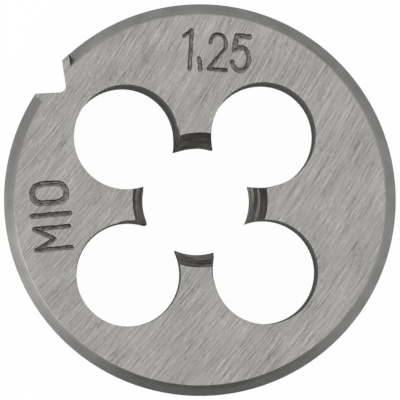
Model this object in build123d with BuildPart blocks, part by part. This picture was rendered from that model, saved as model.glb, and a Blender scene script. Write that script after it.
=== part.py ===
from build123d import *
import math
import os

# A round threading die: one disc of hardened steel with a threaded bore. Four drilled chip holes
# break into the bore and leave four lands, which carry the cutting teeth.
# +Z runs along the rim's axis. The die lies on its back face, with its lead face on top.
# Sizes are in millimetres and angles in degrees. Directions are turned from +X towards +Y.

# Blank
die_diameter = 30.0
die_thickness = 11.0
rim_chamfer = 0.8

# Thread that the die cuts: its form has the metric proportions, as shares of the pitch, with
# tooth crests a little sharper than the root of the screw thread that they leave
thread_diameter = 10.0
thread_pitch = 1.25
thread_angle = 60.0
tooth_depth_share = 0.68
root_flat_share = 0.125

# Place of the thread: its axis lies a little off the rim's, and a groove passes the +X direction
# at this height above the back face, in pitches
thread_x = -0.25
thread_y = -0.06
groove_height_at_start = 0.76

# Lead cones round the rim's axis, in which the teeth grow to full depth over a few turns
front_lead_turns = 1.75
back_lead_turns = 1.5
lead_half_angle = 25.0

# Chip holes, drilled on a circle whose centre also lies a little off the rim's axis
chip_hole_count = 4
chip_hole_diameter = 8.0
chip_circle_radius = 7.43
chip_circle_x = -0.31
chip_circle_y = -0.35
chip_circle_direction = 46.0

# Cutting faces: a grinding pin has run along the leading side of each land and left it flat. The
# pin leans, so it cuts deepest at the lead face and pushes the chips ahead of the die.
cutting_face_offset = 1.13
cutting_face_end = 5.2
cutting_face_lean = 1.9
grinding_pin_diameter = 3.6

# Adjusting notch in the rim, beside one chip hole. The rim chamfer stops short of it, and leaves
# a lip along one flank and a narrow one at the other flank's mouth, both measured across the notch.
notch_direction = 141.0
notch_angle = 84.0
notch_depth = 1.9
notch_root_radius = 0.5
flank_lip_width = 0.8
mouth_lip_width = 0.05

# Conical seats round the rim for the screws of a die holder, placed from the notch
seat_diameter = 4.0
seat_angle = 90.0
seat_offsets = (60.0, 120.0, 240.0, 300.0)

# Allowance by which a cutting form reaches past the surface that it leaves
overrun = 0.05

# Sizes that follow from those above
die_radius = die_diameter / 2
major_radius = thread_diameter / 2
crest_radius = major_radius - tooth_depth_share * thread_pitch
root_half_flat = root_flat_share * thread_pitch / 2
flank_slope = math.tan(math.radians(thread_angle / 2))
lead_slope = math.tan(math.radians(lead_half_angle))
front_mouth_radius = crest_radius + front_lead_turns * thread_pitch * lead_slope
back_mouth_radius = crest_radius + back_lead_turns * thread_pitch * lead_slope

# Bore form: a plain core at the tooth crests with a helical ridge of truncated V section on it.
# The ridge starts below the back face and runs past both faces, and the core past both its ends.
turns_below = 2
turns_above = 1
ridge_start = (groove_height_at_start - turns_below) * thread_pitch
ridge_length = die_thickness + (turns_below + turns_above) * thread_pitch
ridge_foot_radius = crest_radius - overrun
ridge_foot_half = root_half_flat + (major_radius - ridge_foot_radius) * flank_slope
with BuildPart() as bore_form:
    with BuildSketch(Plane.XY.offset(ridge_start - thread_pitch)):
        Circle(crest_radius)
    extrude(amount=ridge_length + 2 * thread_pitch)
    with BuildLine():
        ridge_path = Helix(
            pitch=thread_pitch,
            height=ridge_length,
            radius=crest_radius,
            center=(0, 0, ridge_start),
        )
    with BuildSketch(Plane.XZ):
        with BuildLine():
            Polyline(
                (ridge_foot_radius, ridge_start - ridge_foot_half),
                (major_radius, ridge_start - root_half_flat),
                (major_radius, ridge_start + root_half_flat),
                (ridge_foot_radius, ridge_start + ridge_foot_half),
                close=True,
            )
        make_face()
    sweep(path=ridge_path, is_frenet=True)

# Pin form: the room that the grinding pin clears as it comes in from the bore, with the edge of
# the cutting face at the origin. It passes both faces when that edge is set in the lead face.
pin_radius = grinding_pin_diameter / 2
with BuildPart() as pin_form:
    with BuildSketch(Plane.XY.rotated((cutting_face_lean, 0, 0))):
        with Locations((0, pin_radius)):
            Circle(pin_radius)
            Rectangle(
                cutting_face_end - crest_radius + pin_radius,
                grinding_pin_diameter,
                align=(Align.MAX, Align.CENTER),
            )
    extrude(amount=die_thickness + grinding_pin_diameter, both=True)

with BuildPart() as die:
    # Blank, chamfered round both faces
    with BuildSketch():
        Circle(die_radius)
    extrude(amount=die_thickness)
    chamfer(die.edges().filter_by(GeomType.CIRCLE), length=rim_chamfer)

    # Full rim beside the notch
    notch_root = die_radius - notch_depth
    notch_half_width = notch_depth * math.tan(math.radians(notch_angle / 2))
    notch_plane = Plane.XY.rotated((0, 0, notch_direction))
    with BuildSketch(notch_plane):
        with BuildLine():
            Polyline(
                (notch_root, mouth_lip_width + notch_half_width),
                (notch_root, -flank_lip_width),
                (die_radius, -flank_lip_width - notch_half_width),
                (die_radius, mouth_lip_width + notch_half_width),
                close=True,
            )
        make_face()
        Circle(die_radius, mode=Mode.INTERSECT)
    extrude(amount=die_thickness)

    # Threaded bore
    with Locations((thread_x, thread_y)):
        add(bore_form.part, mode=Mode.SUBTRACT)

    # Lead cones
    with BuildSketch(Plane.XZ):
        with BuildLine():
            Polyline(
                (0, die_thickness),
                (front_mouth_radius, die_thickness),
                (0, die_thickness - front_mouth_radius / lead_slope),
                close=True,
            )
        make_face()
    revolve(axis=Axis.Z, mode=Mode.SUBTRACT)
    with BuildSketch(Plane.XZ):
        with BuildLine():
            Polyline(
                (0, 0),
                (back_mouth_radius, 0),
                (0, back_mouth_radius / lead_slope),
                close=True,
            )
        make_face()
    revolve(axis=Axis.Z, mode=Mode.SUBTRACT)

    # Chip holes
    with BuildSketch():
        with Locations((chip_circle_x, chip_circle_y)):
            with PolarLocations(chip_circle_radius, chip_hole_count, chip_circle_direction):
                Circle(chip_hole_diameter / 2)
    extrude(amount=die_thickness, mode=Mode.SUBTRACT)

    # Cutting faces
    land_direction = chip_circle_direction + 180 / chip_hole_count
    with Locations((chip_circle_x, chip_circle_y, die_thickness)):
        with PolarLocations(cutting_face_end, chip_hole_count, land_direction):
            with Locations((0, cutting_face_offset, 0)):
                add(pin_form.part, mode=Mode.SUBTRACT)

    # Adjusting notch
    with BuildSketch(notch_plane) as notch_form:
        with BuildLine():
            Polyline(
                (notch_root, 0),
                (die_radius + notch_depth, 2 * notch_half_width),
                (die_radius + notch_depth, -2 * notch_half_width),
                close=True,
            )
        make_face()
        fillet(notch_form.vertices().sort_by(Axis.X)[0], radius=notch_root_radius)
    extrude(amount=die_thickness, mode=Mode.SUBTRACT)

    # Screw seats
    seat_slope = math.tan(math.radians(seat_angle / 2))
    seat_depth = seat_diameter / 2 / seat_slope
    with Locations((0, 0, die_thickness / 2)):
        for seat_offset in seat_offsets:
            with PolarLocations(die_radius - seat_depth, 1, notch_direction + seat_offset):
                Cone(
                    bottom_radius=0,
                    top_radius=(seat_depth + overrun) * seat_slope,
                    height=seat_depth + overrun,
                    rotation=(0, 90, 0),
                    align=(Align.CENTER, Align.CENTER, Align.MIN),
                    mode=Mode.SUBTRACT,
                )

os.makedirs("parts", exist_ok=True)
die.part.label = "die"
export_step(die.part, "parts/die.step")
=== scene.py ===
import math
import bmesh
import bpy
from mathutils import Matrix, Vector, geometry, noise


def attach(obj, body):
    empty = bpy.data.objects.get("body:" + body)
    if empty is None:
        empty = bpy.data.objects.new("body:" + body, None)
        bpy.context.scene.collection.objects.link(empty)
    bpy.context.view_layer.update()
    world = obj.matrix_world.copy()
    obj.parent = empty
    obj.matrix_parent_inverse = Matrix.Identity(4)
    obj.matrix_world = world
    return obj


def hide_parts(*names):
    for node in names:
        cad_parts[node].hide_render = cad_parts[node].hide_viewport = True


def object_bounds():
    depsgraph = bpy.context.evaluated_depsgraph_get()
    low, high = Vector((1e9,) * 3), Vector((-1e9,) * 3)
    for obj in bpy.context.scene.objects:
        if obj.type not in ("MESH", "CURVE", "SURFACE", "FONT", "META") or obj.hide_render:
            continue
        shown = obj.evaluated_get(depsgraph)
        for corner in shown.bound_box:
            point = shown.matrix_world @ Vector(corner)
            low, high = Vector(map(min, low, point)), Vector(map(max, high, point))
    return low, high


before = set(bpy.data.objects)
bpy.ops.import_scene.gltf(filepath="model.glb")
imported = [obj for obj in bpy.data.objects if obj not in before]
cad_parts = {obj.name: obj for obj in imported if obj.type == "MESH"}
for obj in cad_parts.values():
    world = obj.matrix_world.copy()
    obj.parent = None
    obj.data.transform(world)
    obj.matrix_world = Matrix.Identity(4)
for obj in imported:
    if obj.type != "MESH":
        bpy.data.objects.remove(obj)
cadLow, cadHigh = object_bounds()
mm = 0.001
faceHeight = cadHigh.z
dieRadius = (cadHigh.x - cadLow.x) / 2
print("frame loaded")


# Shader building: a Wire is one output socket, and arithmetic on it adds Math nodes

class Wire:
    def __init__(self, shader, socket):
        self.shader = shader
        self.socket = socket

    def __add__(self, other):
        return self.shader.maths("ADD", self, other)

    def __radd__(self, other):
        return self.shader.maths("ADD", other, self)

    def __sub__(self, other):
        return self.shader.maths("SUBTRACT", self, other)

    def __rsub__(self, other):
        return self.shader.maths("SUBTRACT", other, self)

    def __mul__(self, other):
        return self.shader.maths("MULTIPLY", self, other)

    def __rmul__(self, other):
        return self.shader.maths("MULTIPLY", other, self)

    def __truediv__(self, other):
        return self.shader.maths("DIVIDE", self, other)

    def __pow__(self, other):
        return self.shader.maths("POWER", self, other)


class Shader:
    def __init__(self, owner):
        owner.use_nodes = True
        self.tree = owner.node_tree

    def node(self, kind, settings, inputs, output=0):
        made = self.tree.nodes.new(kind)
        for name, value in settings.items():
            setattr(made, name, value)
        for name, value in inputs.items():
            self.feed(made.inputs[name], value)
        return Wire(self, made.outputs[output])

    def feed(self, socket, value):
        if isinstance(value, Wire):
            self.tree.links.new(value.socket, socket)
        elif socket.type == "RGBA":
            socket.default_value = (*value, 1)
        else:
            socket.default_value = value

    def maths(self, operation, first, second):
        return self.node("ShaderNodeMath", {"operation": operation}, {0: first, 1: second})

    def places(self, axes="XYZ"):
        # the piece's own coordinates along the axes named, in millimetres
        spot = self.node("ShaderNodeTexCoord", {}, {}, "Object")
        return [self.node("ShaderNodeSeparateXYZ", {}, {0: spot}, axis) * (1 / mm) for axis in axes]

    def grain(self, x, y, z, detail=2, roughness=0.5):
        # noise with a mean of 0.5, at a place worked out from wires; a plain number there is a seed
        spot = self.node("ShaderNodeCombineXYZ", {}, {"X": x, "Y": y, "Z": z})
        settings = {"noise_dimensions": "3D", "normalize": True}
        inputs = {"Vector": spot, "Scale": 1, "Detail": detail, "Roughness": roughness}
        return self.node("ShaderNodeTexNoise", settings, inputs)

    def between(self, value, low, high, lowOut=0, highOut=1):
        settings = {"interpolation_type": "SMOOTHSTEP"}
        inputs = {"Value": value, "From Min": low, "From Max": high, "To Min": lowOut, "To Max": highOut}
        return self.node("ShaderNodeMapRange", settings, inputs)

    def blend(self, share, first, second):
        return self.node("ShaderNodeMix", {"data_type": "RGBA"}, {0: share, 6: first, 7: second}, 2)


def makeFinish(name, build, values):
    # build gives a finish its colour, roughness and relief, and the constants stand in its values
    material = bpy.data.materials.new(name)
    shader = Shader(material)
    surface = shader.tree.nodes["Principled BSDF"]
    for socket, value in values["constants"].items():
        surface.inputs[socket].default_value = value
    colour, roughness, height = build(shader, values)
    shader.feed(surface.inputs["Base Color"], colour)
    shader.feed(surface.inputs["Roughness"], roughness)
    inputs = {"Strength": 1, "Distance": values["reliefDepth"] * mm, "Height": height}
    shader.feed(surface.inputs["Normal"], shader.node("ShaderNodeBump", {}, inputs))
    return material


# Each finish has a dark and a light colour, and noise that mixes them. A kind of line or cloud has
# its share of the mix first, and then its changes to a millimetre, or to a radian for a turn.

# Ground faces: short fine strokes on arcs about far centres, as a large wheel leaves them

groundValues = {
    "constants": {"Metallic": 1},
    "wheelCentre": (-81, 61),
    "secondCentre": (-95, 44),
    "dark": (0.06, 0.0585, 0.056),
    "light": (0.665, 0.65, 0.626),
    "strokes": (0.62, 9, 0.4),  # share, changes across the arcs and along them
    "crossing": (0.34, 8, 0.3),
    "longStrokes": (0.42, 7, 0.08),
    "speckle": (0.3, 8, 3),
    "lineRoughness": 0.55,
    "clouds": (0.2, 0.35),
    "patchGrain": 0.8,
    "patchFrom": (0.35, 0.65),
    "patchLevels": (0.5, 1.4),  # how far the short strokes are weakened and strengthened
    "grooveDark": (0.1, 0.098, 0.093),
    "grooveLight": (0.24, 0.236, 0.226),
    # colour of the scale on the groove walls, which also serves as painted shade there
    "grooveScaleAndShade": (0.035, 0.034, 0.032),
    "grooveGrain": 3,
    "grooveFrom": (0.3, 0.7),
    "leastScaleAndShade": 0.5,
    "roughnessFrom": (0.2, 0.8),
    "roughness": (0.36, 0.5),
    "reliefDepth": 0.004,
}


def wheelLines(shader, x, y, centre, lines, seed, detail=2):
    # strokes on arcs about a centre, as far above 0 as below it
    share, across, along = lines
    dx = x - centre[0]
    dy = y - centre[1]
    distance = (dx * dx + dy * dy) ** 0.5
    turn = shader.maths("ARCTAN2", dy, dx) * (math.hypot(*centre) * along)
    drawn = shader.grain(distance * across, turn, seed, detail, groundValues["lineRoughness"])
    return (drawn - 0.5) * share


def buildGround(shader, values):
    x, y = shader.places("XY")
    centre = values["wheelCentre"]
    strokes = wheelLines(shader, x, y, centre, values["strokes"], 1)
    crossing = wheelLines(shader, x, y, values["secondCentre"], values["crossing"], 5)
    longStrokes = wheelLines(shader, x, y, centre, values["longStrokes"], 9)
    speckle = wheelLines(shader, x, y, centre, values["speckle"], 12, 1)
    share, changes = values["clouds"]
    clouds = (shader.grain(x * changes, y * changes, 3, 3) - 0.5) * share
    patches = shader.grain(x * values["patchGrain"], y * values["patchGrain"], 7)
    patches = shader.between(patches, *values["patchFrom"], *values["patchLevels"])
    mask = 0.5 + (strokes + crossing + speckle) * patches + longStrokes + clouds
    colour = shader.blend(mask, values["dark"], values["light"])
    # the floor of a struck groove, and darker scale on its walls with painted shade, darkest halfway
    # down each wall and on the upper side of each stroke
    struck = shader.node("ShaderNodeAttribute", {"attribute_name": "stampDepth"}, {}, "Fac")
    scaleAndShade = shader.node("ShaderNodeAttribute", {"attribute_name": "stampScaleAndShade"}, {}, "Fac")
    uneven = shader.grain(x * values["grooveGrain"], y * values["grooveGrain"], 17)
    uneven = shader.between(uneven, *values["grooveFrom"])
    floor = shader.blend(uneven, values["grooveDark"], values["grooveLight"])
    colour = shader.blend(struck, colour, floor)
    # the walls' scale with painted shade, darkest on the upper walls of each stroke
    colour = shader.blend(scaleAndShade * (uneven + values["leastScaleAndShade"]), colour, values["grooveScaleAndShade"])
    roughness = shader.between(mask, *values["roughnessFrom"], *values["roughness"])
    return colour, roughness, mask


# Turned rim and chamfers: darkened by the hardening, with faint rings left by the lathe tool

rimValues = {
    "constants": {"Metallic": 1},
    "dark": (0.125, 0.123, 0.118),
    "light": (0.23, 0.227, 0.22),
    "rings": (0.7, 6, 4),  # share, changes across the rings and round the rim
    "clouds": (0.9, 0.6),
    "roughness": 0.42,
    "reliefDepth": 0.003,
}


def buildRim(shader, values):
    x, y, z = shader.places()
    ringShare, across, around = values["rings"]
    cloudShare, changes = values["clouds"]
    radius = (x * x + y * y) ** 0.5
    turn = shader.maths("ARCTAN2", y, x)
    rings = shader.grain((z - radius) * across, turn * around, 2, 3)
    clouds = shader.grain(x * changes, y * changes, z * changes, 3)
    mask = 0.5 + (rings - 0.5) * ringShare + (clouds - 0.5) * cloudShare
    return shader.blend(mask, values["dark"], values["light"]), values["roughness"], rings


# Walls of the chip holes and cutting faces: dark and nearly without shine from the hardening

wallValues = {
    "constants": {"Metallic": 0, "Specular IOR Level": 0.02},
    "dark": (0.06, 0.058, 0.053),
    "light": (0.135, 0.131, 0.122),
    "rings": (0.8, 0.6, 7),  # share, changes round the hole and along it
    "clouds": (0.8, 0.9, 0.3),
    "cloudSeed": 4,
    "roughness": 0.6,
    "reliefDepth": 0.004,
}


def buildWall(shader, values):
    x, y, z = shader.places()
    ringShare, around, along = values["rings"]
    cloudShare, sideways, upwards = values["clouds"]
    rings = shader.grain(x * around, y * around, z * along, 3)
    height = z * upwards + values["cloudSeed"]
    clouds = shader.grain(x * sideways, y * sideways, height, 3)
    mask = 0.5 + (rings - 0.5) * ringShare + (clouds - 0.5) * cloudShare
    return shader.blend(mask, values["dark"], values["light"]), values["roughness"], rings


# Cut thread and lead cones: dark too, but smooth, so the flanks still glint

threadValues = {
    "constants": {"Metallic": 1},
    "dark": (0.03, 0.027, 0.024),
    "light": (0.17, 0.162, 0.152),
    "middle": 0.45,
    "rings": (1.6, 10, 2.5, 3),  # share, changes across the thread, round it and along the bore
    "clouds": (1.1, 1.2, 0.8),
    "roughness": 0.36,
    "reliefDepth": 0.002,
}


def buildThread(shader, values):
    x, y, z = shader.places()
    ringShare, across, around, along = values["rings"]
    cloudShare, sideways, upwards = values["clouds"]
    radius = (x * x + y * y) ** 0.5
    turn = shader.maths("ARCTAN2", y, x)
    rings = shader.grain(radius * across, turn * around, z * along)
    clouds = shader.grain(x * sideways, y * sideways, z * upwards, 3)
    mask = values["middle"] + (rings - 0.5) * ringShare + (clouds - 0.5) * cloudShare
    return shader.blend(mask, values["dark"], values["light"]), values["roughness"], rings


# Worn edges between the faces and the rim chamfers: brighter than the chamfers, and smooth

edgeValues = {
    "constants": {"Metallic": 1},
    "dark": (0.16, 0.157, 0.15),
    "light": (0.36, 0.355, 0.345),
    "nickGrain": 2.5,
    "roughness": 0.25,
    "reliefDepth": 0.001,
}


def buildEdge(shader, values):
    x, y, z = [place * values["nickGrain"] for place in shader.places()]
    nicks = shader.grain(x, y, z, 3)
    return shader.blend(nicks, values["dark"], values["light"]), values["roughness"], nicks


# Milled notch: bright, with marks that run up its flanks

notchValues = {
    "constants": {"Metallic": 1},
    "dark": (0.42, 0.41, 0.395),
    "light": (0.8, 0.79, 0.765),
    "markAcross": 6,
    "markAlong": 0.4,
    "roughness": 0.36,
    "reliefDepth": 0.003,
}


def buildNotch(shader, values):
    x, y, z = shader.places()
    across = values["markAcross"]
    marks = shader.grain(x * across, y * across, z * values["markAlong"], 3)
    return shader.blend(marks, values["dark"], values["light"]), values["roughness"], marks


finishes = {
    "groundFace": makeFinish("groundFace", buildGround, groundValues),
    "turnedRim": makeFinish("turnedRim", buildRim, rimValues),
    "drilledWall": makeFinish("drilledWall", buildWall, wallValues),
    "cutThread": makeFinish("cutThread", buildThread, threadValues),
    "milledNotch": makeFinish("milledNotch", buildNotch, notchValues),
    "wornEdge": makeFinish("wornEdge", buildEdge, edgeValues),
}
finishOrder = list(finishes)
print("finishes made")


# The die itself: a merged copy of the frame's solid, with its edges eased and its size struck in

dieValues = {
    "chipHoleRadius": 4.0,  # lengths are in millimetres and directions in degrees
    "chipCircleRadius": 7.43,
    "chipCircleCentre": (-0.31, -0.35),
    "chipCircleDirection": 46,
    "chipHoleCount": 4,
    "notchDirection": 141,
    "notchRoot": 13.1,
    "notchHalfWidth": 1.9,
    "rimDepth": 2.2,  # what lies nearer than this to the rim is turned, the screw seats too
    "within": 0.05,
    "levelFrom": 0.99,  # these four compare the parts of a face's normal, where 1 is straight on
    "flatFrom": 0.9999,
    "uprightBelow": 0.1,
    "landTurn": 0.75,
    "mergeWithin": 0.0001,
    "flatAngle": 0.001,  # in radians
    "leaningHole": 1,
    "leanAtBack": (-0.28, -0.04),
    "edgeEase": 0.04,
    "easeSegments": 2,
    "smoothBelow": 28,
}


def fromChipHole(spot, index):
    # distance from the wall of one chip hole, in millimetres
    values = dieValues
    turn = math.radians(values["chipCircleDirection"] + 360 * index / values["chipHoleCount"])
    centre = values["chipCircleCentre"]
    dx = spot.x / mm - centre[0] - values["chipCircleRadius"] * math.cos(turn)
    dy = spot.y / mm - centre[1] - values["chipCircleRadius"] * math.sin(turn)
    return abs(math.hypot(dx, dy) - values["chipHoleRadius"])


def onChipHole(spot):
    holes = range(dieValues["chipHoleCount"])
    return any(fromChipHole(spot, index) < dieValues["within"] for index in holes)


def inNotch(spot):
    values = dieValues
    turn = math.radians(values["notchDirection"])
    along = (spot.x * math.cos(turn) + spot.y * math.sin(turn)) / mm
    across = (spot.y * math.cos(turn) - spot.x * math.sin(turn)) / mm
    onRim = math.hypot(along, across) > dieRadius / mm - values["within"]
    beyondRoot = along > values["notchRoot"] - values["within"]
    return beyondRoot and abs(across) < values["notchHalfWidth"] and not onRim


def finishOf(face):
    middle = face.calc_center_median()
    radius = math.hypot(middle.x, middle.y)
    upright = abs(face.normal.z) < dieValues["uprightBelow"]
    # a cutting face runs out from the bore, so it looks along the turn and not at the axis
    outward = abs(face.normal.x * middle.x + face.normal.y * middle.y) / radius
    if abs(face.normal.z) > dieValues["levelFrom"]:
        return "groundFace"
    if upright and inNotch(middle):
        return "milledNotch"
    if radius > dieRadius - dieValues["rimDepth"] * mm:
        return "turnedRim"
    if upright and (onChipHole(middle) or outward < dieValues["landTurn"]):
        return "drilledWall"
    return "cutThread"


def mergedCopy(node):
    # the frame's triangles joined up, with only those that lie flat in a face made into larger faces
    form = bmesh.new()
    form.from_mesh(node.data)
    bmesh.ops.remove_doubles(form, verts=form.verts[:], dist=dieValues["mergeWithin"] * mm)
    flat = []
    for edge in form.edges:
        if all(abs(face.normal.z) > dieValues["flatFrom"] for face in edge.link_faces):
            flat.append(edge)
    bmesh.ops.dissolve_limit(form, angle_limit=dieValues["flatAngle"], verts=[], edges=flat)
    return form


def leanHole(form):
    # one chip hole was drilled a little askew, so its wall runs off towards the back face
    x, y = dieValues["leanAtBack"]
    for vert in form.verts:
        if fromChipHole(vert.co, dieValues["leaningHole"]) < dieValues["within"]:
            share = (faceHeight - vert.co.z) / faceHeight
            vert.co.x += x * mm * share
            vert.co.y += y * mm * share


def setFinishes(form):
    for face in form.faces:
        face.material_index = finishOrder.index(finishOf(face))
        face.smooth = True


def easeEdges(form):
    # the inner edges of the rim chamfers, which are worn bright, and the mouths of the chip holes
    for neighbour in ("turnedRim", "drilledWall"):
        eased = []
        for edge in form.edges:
            meeting = {finishOrder[face.material_index] for face in edge.link_faces}
            if meeting == {"groundFace", neighbour}:
                eased.append(edge)
        made = bmesh.ops.bevel(
            form,
            geom=eased,
            affect="EDGES",
            offset_type="OFFSET",
            offset=dieValues["edgeEase"] * mm,
            segments=dieValues["easeSegments"],
            profile=0.5,
            clamp_overlap=True,
            material=-1,
        )
        if neighbour == "turnedRim":
            for face in made["faces"]:
                face.material_index = finishOrder.index("wornEdge")


# Struck size marks: plain single-stroke figures, each placed as a hand stamp would leave it.
# A mark has its figure, the place of its lower left corner, its turn, height and half stroke width.

stampValues = {
    "wall": 0.11,  # width of a groove's sloping wall
    "depth": 0.12,
    "uneven": 0.35,  # share of the depth by which it varies
    "unevenGrain": 1.7,
    "lean": 0.35,  # share of the depth that the stamp's lean adds at the upper side of a stroke
    "scaleAndShade": 0.55,  # least darkness of the scale and painted shade on a wall, where 1 is full; upper walls get the full painted shade
    "wobble": 0.05,
    "wobbleGrain": 2.3,
    "burr": 0.006,
    "burrWidth": 0.06,
    "reach": 0.2,
    "cell": 0.045,  # width of the cells that the face is divided into round the marks
    "margin": 0.5,
    "topWithin": 0.01,
    "bowSteps": 14,
    "upper": (
        ("one", -0.79, 10.02, -3, 2.93, 0.19),
        ("bar", 0.03, 9.98, 8, 0.83, 0.2),
        ("two", 0.62, 10.02, -4.8, 2.7, 0.175),
        ("five", 2.41, 9.86, -4.3, 2.69, 0.215),
    ),
    "left": (
        ("m", -9.81, -3.63, 95.5, 2.72, 0.2),
        ("bar", -9.95, -1.04, 94.4, 2.9, 0.215),
        ("nought", -10.16, -0.13, 94.8, 2.62, 0.25),
    ),
}


def bow(centre, radii, start, end):
    points = []
    steps = stampValues["bowSteps"]
    for index in range(steps + 1):
        turn = math.radians(start + (end - start) * index / steps)
        points.append((centre[0] + radii[0] * math.cos(turn), centre[1] + radii[1] * math.sin(turn)))
    return points


# Strokes are in shares of the figure's height, from its lower left corner
noughtTop = bow((0.277, 0.72), (0.277, 0.28), 0, 180)
noughtFoot = bow((0.277, 0.28), (0.277, 0.28), 180, 360)
figures = {
    "one": [(0, 0), (0, 1), (-0.19, 0.85)],
    "bar": [(0, 0), (0, 1)],
    "two": bow((0.22, 0.73), (0.225, 0.27), 178, -38) + [(0, 0), (0.51, 0)],
    "five": [(0.45, 1), (0.07, 1), (0.03, 0.6)] + bow((0.225, 0.352), (0.242, 0.335), 125, -160),
    "m": [(0, 0), (0, 1), (0.28, 0.45), (0.6, 1), (0.6, 0)],
    "nought": noughtTop + noughtFoot + noughtTop[:1],
}


def placedStrokes(marks):
    # each mark as points on the face in millimetres, with its half stroke width
    strokes = []
    for name, x, y, turn, height, halfWidth in marks:
        place = Matrix.Translation((x, y, 0)) @ Matrix.Rotation(math.radians(turn), 4, "Z")
        points = [place @ Vector((px * height, py * height, 0)) for px, py in figures[name]]
        strokes.append((points, halfWidth))
    return strokes


def strokeEdge(spot, strokes):
    # distance from a place to the nearest stroke's edge, below zero inside it, and the way out of it
    nearest = math.inf
    outward = Vector((0, 0, 0))
    for points, halfWidth in strokes:
        for start, end in zip(points, points[1:]):
            share = geometry.intersect_point_line(spot, start, end)[1]
            away = spot - start.lerp(end, min(max(share, 0), 1))
            if away.length - halfWidth < nearest:
                nearest = away.length - halfWidth
                outward = away.normalized()
    return nearest, outward


def patchOf(strokes):
    margin = stampValues["margin"]
    xs = [point.x for points, halfWidth in strokes for point in points]
    ys = [point.y for points, halfWidth in strokes for point in points]
    return (min(xs) - margin, max(xs) + margin), (min(ys) - margin, max(ys) + margin)


def onTop(face):
    height = face.calc_center_median().z
    atTop = height > faceHeight - stampValues["topWithin"] * mm
    return face.normal.z > dieValues["levelFrom"] and atTop


def inPatch(face, patch):
    middle = face.calc_center_median() / mm
    inside = patch[0][0] < middle.x < patch[0][1] and patch[1][0] < middle.y < patch[1][1]
    return inside and onTop(face)


def partsOf(faces, kind):
    # the verts or edges of some faces, each once, in the order in which they are met
    return list(dict.fromkeys(part for face in faces for part in getattr(face, kind)))


def cutAcross(form, faces, axis, place):
    # divides faces of the top along a line at a place on the x or y axis
    point = Vector((0, 0, faceHeight))
    point[axis] = place * mm
    direction = Vector((0, 0, 0))
    direction[axis] = 1
    geom = partsOf(faces, "verts") + partsOf(faces, "edges") + faces
    dist = dieValues["mergeWithin"] * mm
    bmesh.ops.bisect_plane(form, geom=geom, plane_co=point, plane_no=direction, dist=dist)


def divideTop(form, patch):
    # the patch is cut free of the rest of the face first, and then into cells
    for axis in (0, 1):
        for place in patch[axis]:
            cutAcross(form, [face for face in form.faces if onTop(face)], axis, place)
    for axis in (0, 1):
        low, high = patch[axis]
        count = math.ceil((high - low) / stampValues["cell"])
        for step in range(1, count):
            faces = [face for face in form.faces if inPatch(face, patch)]
            cutAcross(form, faces, axis, low + (high - low) * step / count)


def strikeMarks(form, strokes, depthLayer, scaleAndShadeLayer):
    values = stampValues
    patch = patchOf(strokes)
    divideTop(form, patch)
    for vert in partsOf([face for face in form.faces if inPatch(face, patch)], "verts"):
        spot = Vector((vert.co.x / mm, vert.co.y / mm, 0))
        distance, outward = strokeEdge(spot, strokes)
        inside = values["wobble"] * noise.noise(spot * values["wobbleGrain"]) - distance
        if inside < -values["reach"]:
            continue
        share = min(max(inside / values["wall"], 0), 1)
        share = share * share * (3 - 2 * share)  # eased at the top and the foot of the wall
        uneven = values["uneven"] * noise.noise(spot * values["unevenGrain"])
        deep = values["depth"] * share * (1 + uneven + values["lean"] * outward.y)
        fromBurr = (inside + values["burrWidth"]) / values["burrWidth"]
        burr = values["burr"] * math.exp(-fromBurr ** 2)
        vert.co.z += (burr - deep) * mm
        vert[depthLayer] = share
        onWall = 4 * share * (1 - share)  # 1 half way down the wall
        # painted shade: walls on the upper side of a stroke are darkened further, where shade falls, on
        # top of the scale all walls have
        scaleAndShadeLevel = values["scaleAndShade"] + (1 - values["scaleAndShade"]) * max(outward.y, 0)
        vert[scaleAndShadeLayer] = onWall * scaleAndShadeLevel


def makeDie():
    form = mergedCopy(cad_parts["die"])
    setFinishes(form)
    leanHole(form)
    easeEdges(form)
    print("edges eased")
    for name in ("stampDepth", "stampScaleAndShade"):
        form.verts.layers.float.new(name)
    layers = [form.verts.layers.float[name] for name in ("stampDepth", "stampScaleAndShade")]
    for group in ("upper", "left"):
        strikeMarks(form, placedStrokes(stampValues[group]), *layers)
    print("marks struck")
    mesh = bpy.data.meshes.new("dieBody")
    form.to_mesh(mesh)
    form.free()
    # the corner normals that came with the frame's mesh no longer fit the new faces
    mesh.attributes.remove(mesh.attributes["custom_normal"])
    for name in finishOrder:
        mesh.materials.append(finishes[name])
    mesh.set_sharp_from_angle(angle=math.radians(dieValues["smoothBelow"]))
    dieBody = bpy.data.objects.new("dieBody", mesh)
    bpy.context.scene.collection.objects.link(dieBody)
    dieBody.modifiers.new("evenShading", "WEIGHTED_NORMAL").keep_sharp = True
    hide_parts("die")
    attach(dieBody, "root")
    print("die made:", len(mesh.polygons), "faces")


makeDie()


# Floor: white to the camera and in reflections, with enough plain diffuse in it to keep the shadow

floorValues = {
    "halfSide": 2.0,  # in metres
    "drop": 0.02,  # in millimetres, below the back face
    "colour": (0.9, 0.9, 0.9),
    "white": (1, 1, 1),
    "shadowShare": 0.025,
}


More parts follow.
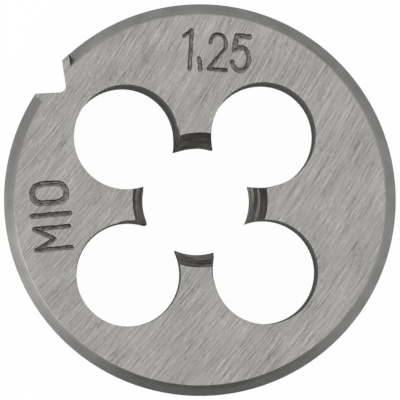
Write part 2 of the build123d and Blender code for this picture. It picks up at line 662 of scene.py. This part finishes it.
def makeFloor():
    values = floorValues
    material = bpy.data.materials.new("paleFloor")
    shader = Shader(material)
    tree = shader.tree
    tree.nodes.remove(tree.nodes["Principled BSDF"])
    seen = shader.node("ShaderNodeLightPath", {}, {}, "Is Camera Ray")
    seen = seen + shader.node("ShaderNodeLightPath", {}, {}, "Is Glossy Ray")
    seen = seen + shader.node("ShaderNodeLightPath", {}, {}, "Is Transmission Ray")
    plain = shader.node("ShaderNodeBsdfDiffuse", {}, {"Color": values["colour"]})
    white = shader.node("ShaderNodeEmission", {}, {"Color": values["white"], "Strength": 1})
    share = shader.maths("MINIMUM", seen, 1) * (1 - values["shadowShare"])
    surface = shader.node("ShaderNodeMixShader", {}, {0: share, 1: plain, 2: white})
    tree.links.new(surface.socket, tree.nodes["Material Output"].inputs["Surface"])
    plane = bmesh.new()
    place = Matrix.Translation((0, 0, -values["drop"] * mm))
    bmesh.ops.create_grid(plane, x_segments=1, y_segments=1, size=values["halfSide"], matrix=place)
    floorMesh = bpy.data.meshes.new("floor")
    plane.to_mesh(floorMesh)
    plane.free()
    floorMesh.materials.append(material)
    floor = bpy.data.objects.new("floor", floorMesh)
    bpy.context.scene.collection.objects.link(floor)


makeFloor()
print("floor made")


# Studio light: a pale room with an even top, and three bright parts and a dark one low round its
# sides. Each low part has its direction, the angles from it at which it begins and is full, its
# level, and the heights, as sines of the elevation, at which it starts to give way to the top and
# has done so. The dark part is last, because a later part covers those before it.

lightValues = {
    "overhead": 0.98,
    "horizon": 1.26,
    "horizonUpTo": (0.1, 0.85),
    "lowParts": (
        (340, (45, 5), 1.8, (0.1, 0.85)),
        (115, (40, 5), 1.65, (0.1, 0.85)),
        (211, (42, 4), 3.5, (0.5, 0.88)),
        (268, (58, 12), 0, (0.2, 0.9)),
    ),
    "leastLevel": 0.0001,  # keeps the heading defined straight up
}


def nearDirection(shader, heading, direction, spread):
    # 1 within the smaller angle of a direction and 0 beyond the larger one
    turn = math.radians(direction)
    towards = heading[0] * math.cos(turn) + heading[1] * math.sin(turn)
    far, near = [math.cos(math.radians(angle)) for angle in spread]
    return shader.between(towards, far, near)


def makeLight():
    values = lightValues
    world = bpy.data.worlds.new("studio")
    bpy.context.scene.world = world
    shader = Shader(world)
    direction = shader.node("ShaderNodeTexCoord", {}, {}, "Generated")
    x, y, z = [shader.node("ShaderNodeSeparateXYZ", {}, {0: direction}, axis) for axis in "XYZ"]
    level = (x * x + y * y) ** 0.5 + values["leastLevel"]
    heading = (x / level, y / level)
    strength = shader.between(z, *values["horizonUpTo"], values["horizon"], values["overhead"])
    for turn, spread, part, upTo in values["lowParts"]:
        share = nearDirection(shader, heading, turn, spread) * shader.between(z, *upTo, 1, 0)
        strength = strength + share * (part - strength)
    background = shader.tree.nodes["Background"]
    background.inputs["Color"].default_value = (1, 1, 1, 1)
    shader.feed(background.inputs["Strength"], strength)


makeLight()
print("light made")


# Camera: nearly straight above the lead face, a little towards the lower left

cameraValues = {
    "target": (-0.01, -0.01),  # lengths are in millimetres
    "offset": (-8.6, -9.2),
    "distance": 575,
    "frameWidth": 30.58,
    "sensor": 36,
    "clipStart": 0.05,  # in metres
}


def makeCamera():
    values = cameraValues
    target = Vector((values["target"][0] * mm, values["target"][1] * mm, faceHeight))
    place = target + Vector((*values["offset"], values["distance"])) * mm
    back = (place - target).normalized()
    across = Vector((0, 1, 0)).cross(back).normalized()
    turn = Matrix((across, back.cross(across), back)).transposed().to_4x4()
    data = bpy.data.cameras.new("camera")
    data.sensor_width = values["sensor"]
    data.lens = values["sensor"] * (place - target).length / (values["frameWidth"] * mm)
    data.clip_start = values["clipStart"]
    camera = bpy.data.objects.new("camera", data)
    camera.matrix_world = Matrix.Translation(place) @ turn
    bpy.context.scene.collection.objects.link(camera)
    bpy.context.scene.camera = camera


makeCamera()
bpy.context.scene.view_settings.view_transform = "Standard"

print("scene made")
